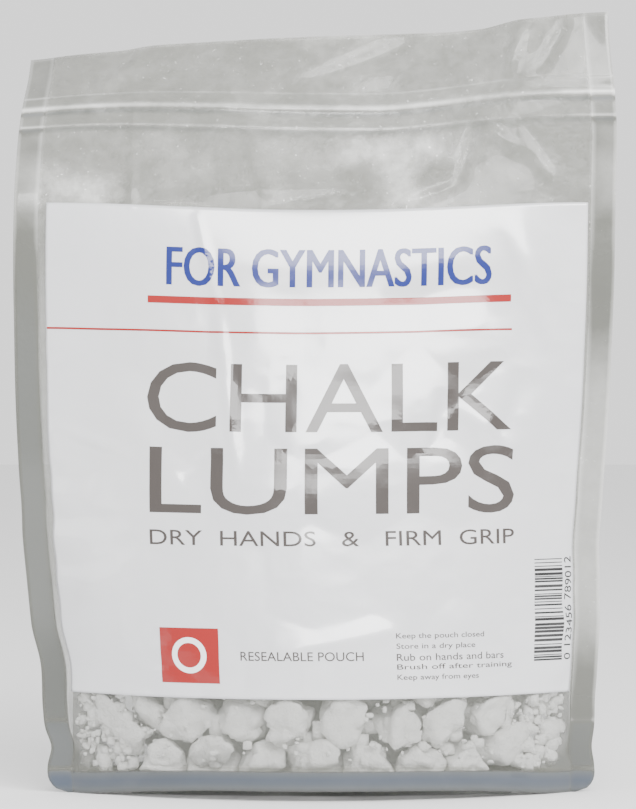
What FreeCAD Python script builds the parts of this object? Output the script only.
"""Stand-up zip pouch holding lumps of gymnastics chalk.

A pouch of clear film stands on its opened bottom gusset. The front and back films are welded
to each other down both sides, and each is welded to the gusset film along the bottom skirt.
Near the top a press-to-close zip, a rib strip on the front film and a groove strip on the back
film, shuts the mouth. A paper label is stuck to the outside of the front film, and the pouch
is filled with broken lumps of magnesium carbonate.

+Z is up and +Y points from the front of the pouch to its back. The origin is on the surface
that the pouch stands on, below the middle of its base. Lengths are millimetres.
"""
import FreeCAD, Part
import Sketcher
import functools
import math
import os
import random

from FreeCAD import Vector

doc = FreeCAD.newDocument("ChalkPouch")

# Driving dimensions: alias, value, meaning. A bulge is how far a film stands out from the plane
# of the side seals, at the middle of the pouch's width.
SIZES = [
    ("flat_width", 185.0, "width of the pouch laid flat, over both side seals"),
    ("film_thick", 0.25, "thickness of each film"),
    ("weld_gap", 0.02, "from the mid plane to each film where the two are welded"),
    ("side_seal", 7.5, "width of the weld down each side"),
    ("skirt_seal", 6.5, "height of the weld between gusset and wall films"),
    ("corner_round", 6.0, "radius of the bottom corners"),
    ("gusset_height", 36.0, "height of the gusset's fold where it enters the side seals"),
    ("gusset_floor_half", 14.0, "half the depth of the gusset's flat floor"),
    ("gusset_flat_share", 0.72, "share of the half width over which the gusset lies flat"),
    ("gusset_fold_half", 0.25, "half width of the fold's crest at the side seals"),
    ("base_bulge", 30.0, "bulge from the ground up to the top of the skirt"),
    ("belly_bulge", 32.0, "bulge at the label's bottom edge, the thickest level"),
    ("waist_level", 75.0, "height of the waist section"),
    ("waist_bulge", 25.5, "bulge at the waist section"),
    ("shoulder_level", 125.0, "height of the shoulder section"),
    ("shoulder_bulge", 16.5, "bulge at the shoulder section"),
    ("neck_bulge", 5.0, "bulge at the label's top edge"),
    ("label_bottom", 31.0, "height of the label's bottom edge"),
    ("label_height", 150.0, "height of the label"),
    ("label_margin", 1.5, "from the label's side edge to the side seal"),
    ("label_thick", 0.15, "thickness of the label"),
    ("label_gap", 0.05, "glue line between label and film"),
    ("lip_rise", 4.0, "from the label's top edge up to the line about which each lip bends"),
    ("lip_height", 55.0, "from that line up to the pouch's top edge"),
    ("lip_bulge", 4.0, "bulge at that line"),
    ("lip_gap", 1.5, "gap between a wall film and its lip, for the lip to bend into"),
    ("lip_side_gap", 0.5, "gap between a lip and each side seal"),
    ("zip_rise", 29.0, "from the lip line up to the zip's rib"),
    ("zip_strip_height", 12.0, "height of each zip strip"),
    ("zip_strip_thick", 0.3, "thickness of each zip strip"),
    ("zip_half_gap", 0.9, "from the mid plane to each zip strip"),
    ("rib_half_stem", 0.3, "half the height of the rib's stem"),
    ("rib_half_head", 0.45, "half the height of the rib's head"),
    ("rib_head_length", 0.6, "length of the rib's head"),
    ("rib_tip_half", 0.15, "half the height of the rib's tip"),
    ("throat_gap", 0.45, "from the rib's head to the lips of the groove"),
    ("jaw_thick", 0.4, "thickness of each jaw of the groove"),
    ("jaw_reach", 0.35, "how far the jaws reach past the mid plane"),
    ("hook_depth", 0.25, "length of the hook along each jaw"),
    ("hook_height", 0.2, "height of the hook on each jaw"),
    ("lump_pitch", 28.0, "spacing of the lumps across the width"),
    ("lump_row", 25.0, "spacing of the rows of lumps"),
    ("lump_first_row", 17.0, "height of the middles of the lowest row of lumps"),
    ("lump_one_deep", 6.7, "half thickness inside the pouch above which it holds lumps"),
    ("lump_two_deep", 15.4, "half thickness inside the pouch above which lumps lie two deep"),
    ("lump_stray", 4.76, "how far a lump's middle may be off its place"),
    ("chip_pitch", 15.0, "spacing of the small lumps that lie along the foot of each wall film"),
    ("chip_row", 12.0, "spacing of the rows of small lumps"),
    ("chip_rows", 3, "number of rows of small lumps"),
    ("chip_inset", 8.0, "from the wall film to the middle of a small lump"),
    ("chip_room", 14.4, "half thickness inside the pouch above which it holds small lumps"),
    ("chip_stray", 3.0, "how far a small lump's middle may be off its place"),
    ("lump_gap", 0.8, "gap between neighbouring lumps"),
    ("lump_clearance", 1.2, "gap between the lumps and the wall films"),
    ("lump_floor_gap", 2.2, "height of the lumps above the gusset film"),
    ("crumb_gap", 0.5, "gap between the lumps and the crumbs on top of them"),
    ("crumb_radius", 2.2, "radius of the crumbs on top of the lumps"),
    ("crumb_pitch", 9.0, "spacing of the crumbs"),
    ("crumb_count", 12, "number of crumbs"),
    ("fill_level", 150.0, "height up to which the pouch is filled"),
]

sheet = doc.addObject("Spreadsheet::Sheet", "Sizes")
for row, (alias, value, meaning) in enumerate(SIZES, start=1):
    sheet.set(f"A{row}", meaning)
    sheet.set(f"B{row}", str(value))
    sheet.setAlias(f"B{row}", alias)
doc.recompute()


@functools.lru_cache(maxsize=None)
def size(formula):
    """The number that a formula on the sheet's cells gives."""
    found = sheet.evalExpression(formula)
    return float(getattr(found, "Value", found))


def labelled(item, label):
    """Gives a finished sub-part the label that names its file."""
    item.Label = label
    return item


# ---- Formulas for the shape of the wall films -------------------------------------------------
# A film is as wide as when it lay flat, so a film that bulges has its side seals drawn in. The
# chord of a shallow arc of length L and bulge b is L - 8/3 b^2 / L.
INNER_WIDTH = "(Sizes.flat_width - 2*Sizes.side_seal)"
FILM_FACE = "(Sizes.weld_gap + Sizes.film_thick)"


def half_chord(bulge):
    return f"({INNER_WIDTH}/2 - 4/3*Sizes.{bulge}^2/{INNER_WIDTH})"


def arc_radius(bulge):
    return f"(({half_chord(bulge)}^2 + Sizes.{bulge}^2)/(2*Sizes.{bulge}))"


# The levels near the mouth are stacked on the label's top edge.
LABEL_TOP = "(Sizes.label_bottom + Sizes.label_height)"
LIP_LINE = f"({LABEL_TOP} + Sizes.lip_rise)"
ZIP_LINE = f"({LIP_LINE} + Sizes.zip_rise)"
TOP_EDGE = f"({LIP_LINE} + Sizes.lip_height)"
WALL_SECTIONS = [
    ("ground", "0", "base_bulge"),
    ("skirt_top", "Sizes.skirt_seal", "base_bulge"),
    ("belly", "Sizes.label_bottom", "belly_bulge"),
    ("waist", "Sizes.waist_level", "waist_bulge"),
    ("shoulder", "Sizes.shoulder_level", "shoulder_bulge"),
    ("neck", LABEL_TOP, "neck_bulge"),
    ("lip_line", LIP_LINE, "lip_bulge"),
]
LABEL_SECTIONS = WALL_SECTIONS[2:6]


def profile(name, corners, arcs=None, level="0"):
    """A closed sketch at a level above the ground, through corners given as pairs of formulas.

    arcs maps the index of a side to the formula of its radius, and such a side bows towards -Y.
    """
    arcs = arcs or {}
    sketch = doc.addObject("Sketcher::SketchObject", name)
    points = [Vector(size(x), size(y), 0) for x, y in corners]
    sides = list(zip(points, points[1:] + points[:1]))
    for index, (start, end) in enumerate(sides):
        if index in arcs:
            sketch.addGeometry(bowed_arc(start, end, size(arcs[index])))
        else:
            sketch.addGeometry(Part.LineSegment(start, end))
    constrain(sketch, corners, arcs, points)
    sketch.setExpression("Placement.Base.z", level)
    return sketch


def bowed_arc(start, end, radius):
    """The arc of a radius between two points at one y, that bows towards -Y."""
    left, right = sorted((start, end), key=lambda p: p.x)
    half = (right.x - left.x) / 2
    crest = (left + right) / 2 - Vector(0, radius - math.sqrt(radius**2 - half**2), 0)
    return Part.Arc(left, crest, right)


def constrain(sketch, corners, arcs, points):
    """Joins the sides end to end and binds each corner and radius to its formula."""
    following = points[1:] + points[:1]
    # Point 1 of an arc is its left end, whichever way the outline passes along it.
    leftward = [i in arcs and p.x > q.x for i, (p, q) in enumerate(zip(points, following))]
    first = [2 if flag else 1 for flag in leftward]
    last = [1 if flag else 2 for flag in leftward]
    for index in range(len(points)):
        after = (index + 1) % len(points)
        sketch.addConstraint(
            Sketcher.Constraint("Coincident", index, last[index], after, first[after])
        )
    for index, (x, y) in enumerate(corners):
        for kind, formula, now in (
            ("DistanceX", x, points[index].x),
            ("DistanceY", y, points[index].y),
        ):
            number = sketch.addConstraint(
                Sketcher.Constraint(kind, -1, 1, index, first[index], now)
            )
            sketch.setExpression(f"Constraints[{number}]", formula)
    for index, formula in arcs.items():
        number = sketch.addConstraint(Sketcher.Constraint("Radius", index, size(formula)))
        sketch.setExpression(f"Constraints[{number}]", formula)


def wall_section(name, level, bulge):
    """The section of the front film at one level: a bowed middle between two flat seals."""
    edge = f"({half_chord(bulge)} + Sizes.side_seal)"
    chord = half_chord(bulge)
    outer, inner = f"-{FILM_FACE}", "-Sizes.weld_gap"
    corners = [
        (f"-{edge}", outer), (f"-{chord}", outer), (chord, outer), (edge, outer),
        (edge, inner), (chord, inner), (f"-{chord}", inner), (f"-{edge}", inner),
    ]
    arcs = {1: arc_radius(bulge), 5: arc_radius(bulge)}
    return profile(f"wall_{name}", corners, arcs, level)


def ruled_solid(name, sections):
    loft = doc.addObject("Part::Loft", name)
    loft.Sections = sections
    loft.Solid, loft.Ruled = True, True
    return loft


def bound(item, **formulas):
    """Binds an item's sizes, and its place x, y and z, to formulas."""
    for key, formula in formulas.items():
        item.setExpression(f"Placement.Base.{key}" if key in "xyz" else key, formula)
    return item


# ---- Wall films --------------------------------------------------------------------------------
def side_strip(name, side):
    """The welded edge of the front film beside the mouth, above the lip line."""
    strip = doc.addObject("Part::Box", name)
    left = f"{INNER_WIDTH}/2" if side > 0 else "-Sizes.flat_width/2"
    return bound(
        strip,
        Length="Sizes.side_seal", Width="Sizes.film_thick",
        Height="Sizes.lip_height",
        x=left, y=f"-{FILM_FACE}", z=LIP_LINE,
    )


def corner_waste(name, side):
    """What the rounding of a bottom corner cuts away: a square less a quarter disc."""
    outside = f"({half_chord('base_bulge')} + Sizes.side_seal)"
    inside = f"({outside} - Sizes.corner_round)"
    square = doc.addObject("Part::Box", f"{name}_square")
    bound(
        square,
        Length="Sizes.corner_round + 1", Width="4*Sizes.film_thick",
        Height="Sizes.corner_round + 1",
        x=inside if side > 0 else f"-{outside} - 1", y=f"-3*{FILM_FACE}", z="-1",
    )
    disc = doc.addObject("Part::Cylinder", f"{name}_disc")
    disc.Placement.Rotation = FreeCAD.Rotation(Vector(1, 0, 0), -90)
    bound(
        disc,
        Radius="Sizes.corner_round", Height="6*Sizes.film_thick",
        x=inside if side > 0 else f"-{inside}", y=f"-4*{FILM_FACE}", z="Sizes.corner_round",
    )
    waste = doc.addObject("Part::Cut", name)
    waste.Base, waste.Tool = square, disc
    return waste


def wall_films():
    sheet_of_film = ruled_solid(
        "front_sheet", [wall_section(name, level, bulge) for name, level, bulge in WALL_SECTIONS]
    )
    whole = doc.addObject("Part::MultiFuse", "front_whole")
    whole.Shapes = [
        sheet_of_film, side_strip("left_strip", -1), side_strip("right_strip", 1)
    ]
    wastes = doc.addObject("Part::MultiFuse", "corner_wastes")
    wastes.Shapes = [corner_waste("left_waste", -1), corner_waste("right_waste", 1)]
    front = doc.addObject("Part::Cut", "front_cut")
    front.Base, front.Tool = whole, wastes
    back = doc.addObject("Part::Mirroring", "back_mirror")
    back.Source, back.Normal = front, Vector(0, 1, 0)
    return [labelled(front, "front_film"), labelled(back, "back_film")]


# ---- Gusset film -------------------------------------------------------------------------------
def arc_depth(x, half, bulge):
    """How far an arc of that half chord and bulge stands out at x."""
    radius = (half**2 + bulge**2) / (2 * bulge)
    return math.sqrt(max(radius**2 - x**2, 0)) - (radius - bulge)


def shifted(line, distance):
    """An open line of (y, z) points moved sideways, each corner along its mitre."""
    moved = []
    for i, (y, z) in enumerate(line):
        before = unit(line[max(i - 1, 0)], line[max(i, 1)])
        after = unit(line[min(i, len(line) - 2)], line[min(i + 1, len(line) - 1)])
        normal = (-(before[1] + after[1]) / 2, (before[0] + after[0]) / 2)
        reach = distance / (normal[0] ** 2 + normal[1] ** 2)
        moved.append((y + reach * normal[0], z + reach * normal[1]))
    return moved


def unit(start, end):
    long = math.hypot(end[0] - start[0], end[1] - start[1])
    return (end[0] - start[0]) / long, (end[1] - start[1]) / long


def solid_from(rings):
    """The solid whose cross-sections are rings of points.

    A side of the rings that stays level is one face for as long as it does.
    """
    faces = [flat_face(rings[0]), flat_face(rings[-1][::-1])]
    count = len(rings[0])
    for i in range(count):
        edge = [(ring[i], ring[(i + 1) % count]) for ring in rings]
        start = 0
        while start < len(edge) - 1:
            end = start + 1
            if is_level(edge[start:end + 1]):
                while end < len(edge) - 1 and is_level(edge[start:end + 2]):
                    end += 1
            near = [p for p, _ in edge[start:end + 1]]
            far = [q for _, q in edge[start:end + 1]]
            # Both faces of the film fold along the same diagonals, so that they never meet.
            outline = near + far[::-1] if i < count / 2 else near[::-1] + far
            faces += [flat_face(part) for part in flat_parts(outline)]
            start = end
    return sewn_solid(faces)


def is_level(edge):
    heights = [p.z for pair in edge for p in pair]
    return max(heights) - min(heights) < 1e-9


def sewn_solid(faces):
    """The solid inside a closed set of flat faces."""
    shell = Part.makeShell(faces)
    shell.sewShape()
    solid = Part.makeSolid(Part.makeShell(shell.Faces))
    if solid.Volume < 0:
        solid.reverse()
    return solid


def flat_parts(outline):
    """An outline as it is if it is flat; a quad that isn't gives its two triangles."""
    a, b, c, d = outline[0], outline[1], outline[-2], outline[-1]
    normal = (b - a).cross(c - a)
    if len(outline) > 4 or abs(normal.dot(d - a)) <= 1e-7 * normal.Length:
        return [outline]
    return [[a, b, c], [a, c, d]]


def flat_face(points):
    return Part.Face(Part.makePolygon(points + points[:1]))


def gusset_fold_share(x, half):
    """0 where the gusset lies flat on the ground, rising to 1 where it enters a side seal."""
    flat = size("Sizes.gusset_flat_share")
    return max(0.0, (abs(x) / half - flat) / (1 - flat))


def gusset_line(x, half):
    """The middle line of the gusset film at x: skirt, slope, floor or fold, slope, and skirt."""
    thick, skirt = size("Sizes.film_thick"), size("Sizes.skirt_seal")
    depth = arc_depth(x, size(half_chord("base_bulge")), size("Sizes.base_bulge")) - thick / 2
    share = gusset_fold_share(x, half)
    crest = thick / 2 + share * (size("Sizes.gusset_height") - thick)
    floor_half = min(size("Sizes.gusset_floor_half"), depth / 2)
    fold_half = size("Sizes.gusset_fold_half")
    top = max(floor_half + share * (fold_half - floor_half), fold_half)
    return [(-depth, 0), (-depth, skirt), (-top, crest), (top, crest), (depth, skirt), (depth, 0)]


GUSSET_SPANS = 20  # stretches that the gusset is made of across the pouch


def gusset_half():
    """Half the gusset's width: it ends where the fold enters the side seals."""
    return size(half_chord("belly_bulge")) - 3 * size("Sizes.film_thick")


def gusset_film():
    half = gusset_half()
    flat_edge = size("Sizes.gusset_flat_share") * half
    places = [half * (2 * i / GUSSET_SPANS - 1) for i in range(GUSSET_SPANS + 1)]
    places = sorted({round(x, 6) for x in places + [-flat_edge, flat_edge]})
    rings = []
    for x in places:
        line = gusset_line(x, half)
        outline = shifted(line, -size("Sizes.film_thick") / 2)
        outline += shifted(line, size("Sizes.film_thick") / 2)[::-1]
        rings.append([Vector(x, y, z) for y, z in outline])
    gusset = doc.addObject("Part::Feature", "gusset")
    gusset.Shape = solid_from(rings)
    return [labelled(gusset, "gusset_film")]


# ---- Lips of the mouth -------------------------------------------------------------------------
STRIP_FACE = "(Sizes.zip_half_gap + Sizes.zip_strip_thick)"
ZIP_FOOT = f"({ZIP_LINE} - Sizes.zip_strip_height/2)"
LIP_HALF_WIDTH = f"({INNER_WIDTH}/2 - Sizes.lip_side_gap)"


def lip_films():
    """Each lip leaves the lip line bowed, and is flat from the zip strip upwards."""
    chord = f"({half_chord('lip_bulge')} - Sizes.lip_side_gap)"
    outer, inner = f"-{FILM_FACE}", "-Sizes.weld_gap"
    bowed = profile(
        "lip_foot",
        [(f"-{chord}", outer), (chord, outer), (chord, inner), (f"-{chord}", inner)],
        {0: arc_radius("lip_bulge"), 2: arc_radius("lip_bulge")},
        f"{LIP_LINE} + Sizes.lip_gap",
    )
    near, far = f"-{STRIP_FACE}", f"-({STRIP_FACE} + Sizes.film_thick)"
    side = LIP_HALF_WIDTH
    flats = [
        profile(name, [(f"-{side}", far), (side, far), (side, near), (f"-{side}", near)],
                level=level)
        for name, level in (("lip_zip_foot", ZIP_FOOT), ("lip_top", TOP_EDGE))
    ]
    front = ruled_solid("front_lip", [bowed] + flats)
    back = doc.addObject("Part::Mirroring", "back_lip")
    back.Source, back.Normal = front, Vector(0, 1, 0)
    return [labelled(front, "front_mouth_film"), labelled(back, "back_mouth_film")]


def padded_strip(name, label, corners):
    """A zip strip: its section, as (y, z) pairs of formulas, padded along the mouth."""
    body = doc.addObject("PartDesign::Body", name)
    sketch = body.newObject("Sketcher::SketchObject", f"{name}_section")
    plane = next(p for p in body.Origin.OriginFeatures if p.Role == "YZ_Plane")
    sketch.AttachmentSupport, sketch.MapMode = [(plane, "")], "FlatFace"
    points = [Vector(size(y), size(z), 0) for y, z in corners]
    for start, end in zip(points, points[1:] + points[:1]):
        sketch.addGeometry(Part.LineSegment(start, end))
    constrain(sketch, corners, {}, points)
    pad = body.newObject("PartDesign::Pad", f"{name}_pad")
    pad.Profile = sketch
    pad.SideType = "Symmetric"
    pad.setExpression("Length", f"2*{LIP_HALF_WIDTH}")
    return labelled(body, label)


def zip_strips():
    """The rib strip on the front lip and the groove strip, with two hooked jaws, on the back."""
    foot = ZIP_FOOT
    head = f"({foot} + Sizes.zip_strip_height)"
    level = ZIP_LINE
    near, face = "-Sizes.zip_half_gap", f"-{STRIP_FACE}"
    tip = "Sizes.rib_head_length"
    upper = [
        (near, head), (near, f"{level} + Sizes.rib_half_stem"),
        ("0", f"{level} + Sizes.rib_half_stem"), ("0", f"{level} + Sizes.rib_half_head"),
        (tip, f"{level} + Sizes.rib_tip_half"),
    ]
    lower = [
        (tip, f"{level} - Sizes.rib_tip_half"), ("0", f"{level} - Sizes.rib_half_head"),
        ("0", f"{level} - Sizes.rib_half_stem"), (near, f"{level} - Sizes.rib_half_stem"),
        (near, foot),
    ]
    rib = padded_strip("rib", "zip_rib_strip", [(face, foot), (face, head)] + upper + lower)

    near, face = "Sizes.zip_half_gap", STRIP_FACE
    mouth, hook = "-Sizes.jaw_reach", "(Sizes.hook_depth - Sizes.jaw_reach)"
    throat = "(Sizes.rib_half_head + Sizes.throat_gap)"
    hollow = f"({throat} + Sizes.hook_height)"
    outside = f"({hollow} + Sizes.jaw_thick)"
    jaw = [(near, outside), (mouth, outside), (mouth, throat), (hook, throat), (hook, hollow)]
    over = [(y, f"{level} + {z}") for y, z in jaw] + [(near, f"{level} + {hollow}")]
    under = [(near, f"{level} - {hollow}")] + [(y, f"{level} - {z}") for y, z in jaw[::-1]]
    groove = padded_strip(
        "groove", "zip_groove_strip",
        [(face, foot), (face, head), (near, head)] + over + under + [(near, foot)],
    )
    return [rib, groove]


# ---- Label -------------------------------------------------------------------------------------
def label_section(name, level, bulge):
    """The label's section at one level, on the same circle as the film under it."""
    side = f"({half_chord(bulge)} - Sizes.label_margin)"
    radius = arc_radius(bulge)
    out = f"(sqrt({radius}^2 - {side}^2) - {radius} + Sizes.{bulge})"
    near = f"-({FILM_FACE} + Sizes.label_gap + {out})"
    far = f"({near} - Sizes.label_thick)"
    corners = [(f"-{side}", far), (side, far), (side, near), (f"-{side}", near)]
    return profile(f"label_{name}", corners, {0: radius, 2: radius}, level)


def front_label():
    sections = [label_section(name, level, bulge) for name, level, bulge in LABEL_SECTIONS]
    return [labelled(ruled_solid("label", sections), "front_label")]


# ---- Chalk lumps -------------------------------------------------------------------------------
def arc_point(share, bulge):
    """The point at a share of the way from the middle to the end of a section's arc."""
    half, radius = size(half_chord(bulge)), size(arc_radius(bulge))
    angle = share * math.asin(half / radius)
    return radius * math.sin(angle), radius * math.cos(angle) - radius + size(f"Sizes.{bulge}")


def inside_depth(x, z):
    """Half the inside thickness of the pouch at x and z, on the ruled face between sections."""
    levels = [size(level) for _, level, _ in WALL_SECTIONS]
    upper = next((i for i, level in enumerate(levels) if i and z <= level), len(levels) - 1)
    lower = upper - 1
    up = max(0.0, (z - levels[lower]) / (levels[upper] - levels[lower]))
    near, far = 0.0, 1.0
    for _ in range(24):
        share = (near + far) / 2
        below = arc_point(share, WALL_SECTIONS[lower][2])
        above = arc_point(share, WALL_SECTIONS[upper][2])
        reached = below[0] + (above[0] - below[0]) * up
        near, far = (share, far) if reached < abs(x) else (near, share)
    return below[1] + (above[1] - below[1]) * up


LEAST_EDGE = 0.08  # distance from a cut to the nearest corner of a lump
# In spacings of the lumps: half the side of the cube that a lump is cut from, and how far apart
# the middles of two lumps that may touch are.
CUBE_HALF, NEIGHBOUR_REACH = 0.62, 2.6


class Plane:
    """Keeps what lies on the side of point that normal points away from."""

    def __init__(self, point, normal):
        self.point = point
        self.normal = Vector(normal).normalize()

    def height(self, p):
        return (p - self.point).dot(self.normal)


def clipped(faces, plane):
    """A convex lump, as a list of faces that are lists of points, cut off at a plane.

    The plane moves inwards until no corner of the lump is close to it, so that no sliver of a
    face is left over. A lump that is all on the far side has no faces left.
    """
    corners = [p for face in faces for p in face]
    if max((plane.height(p) for p in corners), default=0) <= 0:
        return faces
    while min(abs(plane.height(p)) for p in corners) < LEAST_EDGE:
        plane = Plane(plane.point - plane.normal * LEAST_EDGE, plane.normal)
    kept, rim = [], []
    for face in faces:
        cut = []
        for a, b in zip(face, face[1:] + face[:1]):
            ha, hb = plane.height(a), plane.height(b)
            if ha < 0:
                cut.append(a)
            if ha * hb < 0:
                crossing = a + (b - a) * (ha / (ha - hb))
                cut.append(crossing)
                rim.append(crossing)
        if cut:
            kept.append(cut)
    return kept + [ordered_round(rim, plane.normal)] if kept else []


def ordered_round(points, normal):
    """The distinct points of a flat convex outline, in order round it."""
    centre = sum(points, Vector()) * (1 / len(points))
    across = (points[0] - centre).normalize()
    along = normal.cross(across)
    turn = sorted(
        points, key=lambda p: math.atan2((p - centre).dot(along), (p - centre).dot(across))
    )
    kept = [p for p, q in zip(turn, turn[1:] + turn[:1]) if (p - q).Length > 1e-6]
    return kept


def box_faces(centre, half):
    corner = [
        centre + Vector(i * half, j * half, k * half)
        for i in (-1, 1) for j in (-1, 1) for k in (-1, 1)
    ]
    return [
        [corner[n] for n in side]
        for side in ((0, 1, 3, 2), (4, 6, 7, 5), (0, 4, 5, 1), (2, 3, 7, 6), (0, 2, 6, 4),
                     (1, 5, 7, 3))
    ]


class Seed:
    """The middle of a lump, and the spacing of lumps of its size."""

    def __init__(self, point, pitch):
        self.point = point
        self.pitch = pitch


def lump_seeds(chance):
    """The large lumps: rows across the pouch, two deep where it is thick enough."""
    pitch, row = size("Sizes.lump_pitch"), size("Sizes.lump_row")
    stray = size("Sizes.lump_stray")
    seeds = []
    for level in range(int((size("Sizes.fill_level") - row / 2) / row) + 1):
        z = size("Sizes.lump_first_row") + level * row
        columns = int(size("Sizes.flat_width") / 2 / pitch) + 1
        for column in range(-columns, columns + 1):
            x = (column + 0.5 * (level % 2)) * pitch
            if abs(x) > size(half_chord("belly_bulge")):
                continue
            depth = inside_depth(x, z)
            layers = sum(depth > size(f"Sizes.lump_{many}_deep") for many in ("one", "two"))
            for layer in range(layers):
                y = 0.0 if layers == 1 else (layer - 0.5) * depth
                loose = Vector(*(chance.uniform(-stray, stray) for _ in range(3)))
                loose.y *= 0.5 * (layers - 1)
                seeds.append(Seed(Vector(x, y, z) + loose, pitch))
    return seeds


def chip_seeds(chance, side):
    """The small lumps: rows along the foot of the front film, side -1, or the back film, 1."""
    pitch, row, inset, room, stray = (
        size(f"Sizes.chip_{what}") for what in ("pitch", "row", "inset", "room", "stray")
    )
    seeds = []
    for level in range(int(size("Sizes.chip_rows"))):
        z = (level + 1) * row
        columns = int(size("Sizes.flat_width") / 2 / pitch) + 1
        for column in range(-columns, columns + 1):
            x = (column + 0.5 * (level % 2)) * pitch
            if abs(x) > size(half_chord("belly_bulge")) or inside_depth(x, z) < room:
                continue
            loose = Vector(*(chance.uniform(-stray, stray) for _ in range(3)))
            loose.y *= 0.5
            seeds.append(Seed(Vector(x, side * (inside_depth(x, z) - inset), z) + loose, pitch))
    return seeds


def wall_plane(x, z, side):
    """The plane just inside the front film, side -1, or the back film, 1, at x and z."""
    depth = inside_depth(x, z) - size("Sizes.lump_clearance")
    rise = (inside_depth(x, z + 1) - inside_depth(x, z - 1)) / 2
    slope = (inside_depth(x + 1, z) - inside_depth(x - 1, z)) / 2
    return Plane(Vector(x, side * depth, z), Vector(-slope, side, -rise))


def wall_planes(seed):
    """Planes just inside the films, round about a seed."""
    step = seed.pitch / 3
    return [
        wall_plane(seed.point.x + dx, max(seed.point.z + dz, size("Sizes.skirt_seal")), side)
        for dx in (-step, step) for dz in (-step, step) for side in (-1, 1)
    ]


def kept_inside(faces):
    """A lump cut again wherever a corner of it is closer to a film than half the clearance."""
    least = size("Sizes.lump_clearance") / 2
    for _ in range(12):
        astray = [
            p for face in faces for p in face if abs(p.y) > inside_depth(p.x, p.z) - least
        ]
        if not astray:
            return faces
        faces = clipped(faces, wall_plane(astray[0].x, astray[0].z, 1 if astray[0].y > 0 else -1))
    raise RuntimeError("a lump can't be kept inside the films")


def floor_planes(seed):
    """Planes just above the gusset film near a seed: its floor, its two slopes and its fold."""
    clearance = size("Sizes.lump_floor_gap") + size("Sizes.film_thick") / 2
    half = gusset_half()
    reach = 0.6 * seed.pitch
    planes = [Plane(Vector(0, 0, clearance), Vector(0, 0, -1))]
    # Past this x the fold's crest is higher than the skirt, and the fold's own plane is enough.
    flat = size("Sizes.gusset_flat_share")
    last = half * (flat + (1 - flat) * size("Sizes.skirt_seal / Sizes.gusset_height"))
    for place in (seed.point.x - reach, seed.point.x, seed.point.x + reach):
        x = max(-last, min(last, place))
        for side in (-1, 1):
            skirt, crest = slope_edges(x, half, side, clearance)
            beside = slope_edges(x + 1, half, side, clearance)[0]
            normal = (crest - skirt).cross(beside - skirt)
            planes.append(Plane(skirt, normal * (-1 if normal.z > 0 else 1)))
    start = flat * half
    rise = size("Sizes.gusset_height") / (half - start)
    for side in (-1, 1):
        planes.append(Plane(Vector(side * start, 0, clearance), Vector(side * rise, 0, -1)))
    return planes


def slope_edges(x, half, side, clearance):
    """The two edges of the gusset's slope at x, on the side of -Y or +Y, lifted by a clearance."""
    line = gusset_line(x, half)
    (skirt_y, skirt_z), (crest_y, crest_z) = line[1], line[2]
    return (
        Vector(x, -side * skirt_y, skirt_z + clearance),
        Vector(x, -side * crest_y, crest_z + clearance),
    )


def lump_solid(seed, seeds, chance):
    """A lump: the room nearer to its seed than to any other, with its corners knocked off.

    It is None where the films leave no room for one.
    """
    gap, middle = size("Sizes.lump_gap"), seed.point
    faces = box_faces(middle, CUBE_HALF * seed.pitch)
    for other in seeds:
        away = other.point - middle
        if 0 < away.Length < NEIGHBOUR_REACH * seed.pitch:
            faces = clipped(faces, Plane(middle + away * (0.5 - gap / 2 / away.Length), away))
    for plane in wall_planes(seed) + floor_planes(seed):
        faces = clipped(faces, plane)
    faces = kept_inside(faces)
    if not faces:
        return None
    for _ in range(5):
        way = Vector(*(chance.gauss(0, 1) for _ in range(3))).normalize()
        far = max((p - middle).dot(way) for face in faces for p in face)
        faces = clipped(faces, Plane(middle + way * far * chance.uniform(0.72, 0.9), way))
    return sewn_solid([flat_face(face) for face in faces])


def lump_solids(group, seeds, chance):
    return [solid for seed in group if (solid := lump_solid(seed, seeds, chance))]


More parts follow.
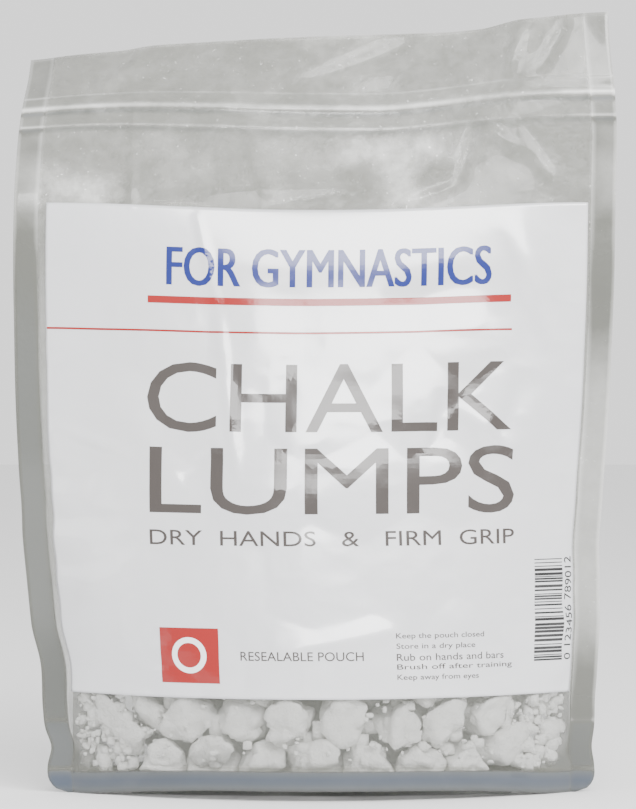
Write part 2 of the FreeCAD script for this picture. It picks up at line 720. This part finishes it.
def chalk_lumps():
    """Each large lump as a sub-part, and the small ones in two groups of separate solids."""
    chance = random.Random(7)
    large = lump_seeds(chance)
    front, back = chip_seeds(chance, -1), chip_seeds(chance, 1)
    seeds = large + front + back
    lumps = []
    for number, solid in enumerate(lump_solids(large, seeds, chance), start=1):
        lump = doc.addObject("Part::Feature", f"lump{number}")
        lump.Shape = solid
        lumps.append(labelled(lump, f"chalk_lump_{number:02d}"))
    for name, group in (("front", front), ("back", back)):
        chips = doc.addObject("Part::Feature", f"{name}_chips")
        chips.Shape = Part.makeCompound(lump_solids(group, seeds, chance))
        lumps.append(labelled(chips, f"small_lumps_{name}"))
    return lumps


def chalk_crumbs(lumps):
    """Small crumbs that lie along the top of the heap, one node of separate solids."""
    chance = random.Random(3)
    radius, pitch = size("Sizes.crumb_radius"), size("Sizes.crumb_pitch")
    heap_top = max(lump.Shape.BoundBox.ZMax for lump in lumps)
    level = heap_top + size("Sizes.crumb_gap + Sizes.crumb_radius")
    solids = []
    for number in range(int(size("Sizes.crumb_count"))):
        x = (number - (size("Sizes.crumb_count") - 1) / 2) * pitch
        seed = Vector(x, 0, level)
        faces = box_faces(seed, radius)
        for _ in range(6):
            way = Vector(*(chance.gauss(0, 1) for _ in range(3))).normalize()
            faces = clipped(faces, Plane(seed + way * radius * chance.uniform(0.75, 1), way))
        solids.append(sewn_solid([flat_face(face) for face in faces]))
    crumbs = doc.addObject("Part::Feature", "crumbs")
    crumbs.Shape = Part.makeCompound(solids)
    return [labelled(crumbs, "chalk_crumbs")]


# ---- The pouch ---------------------------------------------------------------------------------
lumps = chalk_lumps()
subparts = (
    wall_films() + gusset_film() + lip_films() + zip_strips() + front_label()
    + lumps + chalk_crumbs(lumps)
)
doc.recompute()

for item in doc.Objects:
    if {"Invalid", "Error"} & set(item.State):
        raise RuntimeError(f"{item.Label} did not build: {item.State}")
for item in subparts:
    if item.Shape.isNull() or not item.Shape.isValid() or item.Shape.Volume <= 0:
        raise RuntimeError(f"{item.Label} has no valid solid")

os.makedirs("parts", exist_ok=True)
for item in subparts:
    item.Shape.exportStep(os.path.join("parts", f"{item.Label}.step"))
print(len(subparts), "sub-parts")
